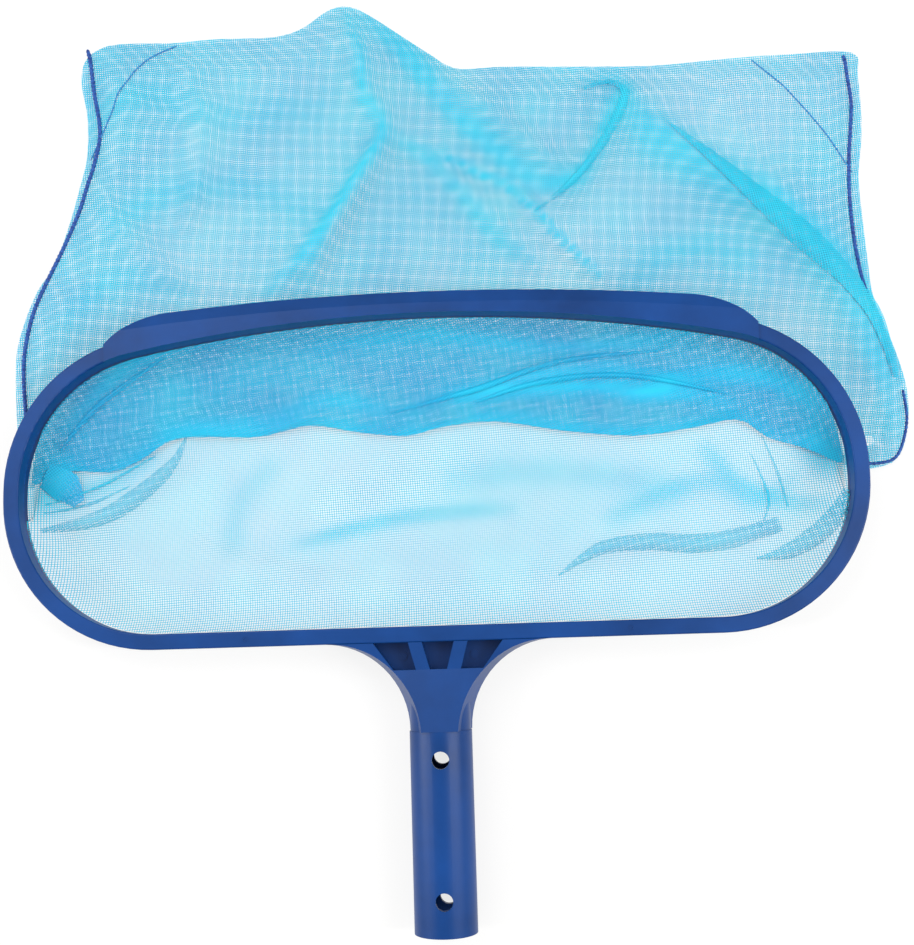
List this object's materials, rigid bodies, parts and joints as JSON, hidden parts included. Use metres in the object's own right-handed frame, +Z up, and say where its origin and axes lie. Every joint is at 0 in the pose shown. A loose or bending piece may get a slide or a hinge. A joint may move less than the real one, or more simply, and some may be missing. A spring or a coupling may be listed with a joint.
{
  "type": "leaf skimmer net",
  "caption": "Shallow oval skimmer: a moulded hoop with a scraper lip and tubular handle spigot, a clamp ring below it, and a folded fine-mesh bag sewn along its sides.",
  "frame": {"origin": "centre of the handle spigot's free end face", "axes": "-Y out of the spigot's free end, the way a pole comes off; +Y along the handle to the scraper lip; +Z up, away from the surface the net lies on"},
  "size_m": [0.429, 0.446, 0.0286],
  "materials": {
    "frame_plastic": "satin moulded plastic",
    "clamp_plastic": "satin moulded plastic",
    "hem_fabric": "woven hem",
    "mesh": "fine square-woven mesh",
    "thread": "overlock thread"
  },
  "bodies": {
    "root": {"frame_moulding": "frame_plastic", "clamp_ring": "clamp_plastic", "locating_pins": "clamp_plastic", "mouth_hem": "hem_fabric", "bag_lower_panel": "mesh", "bag_upper_panel": "mesh", "side_seam_left": "thread", "side_seam_right": "thread", "corner_stitch_left": "thread", "corner_stitch_right": "thread"}
  },
  "joints": []
}
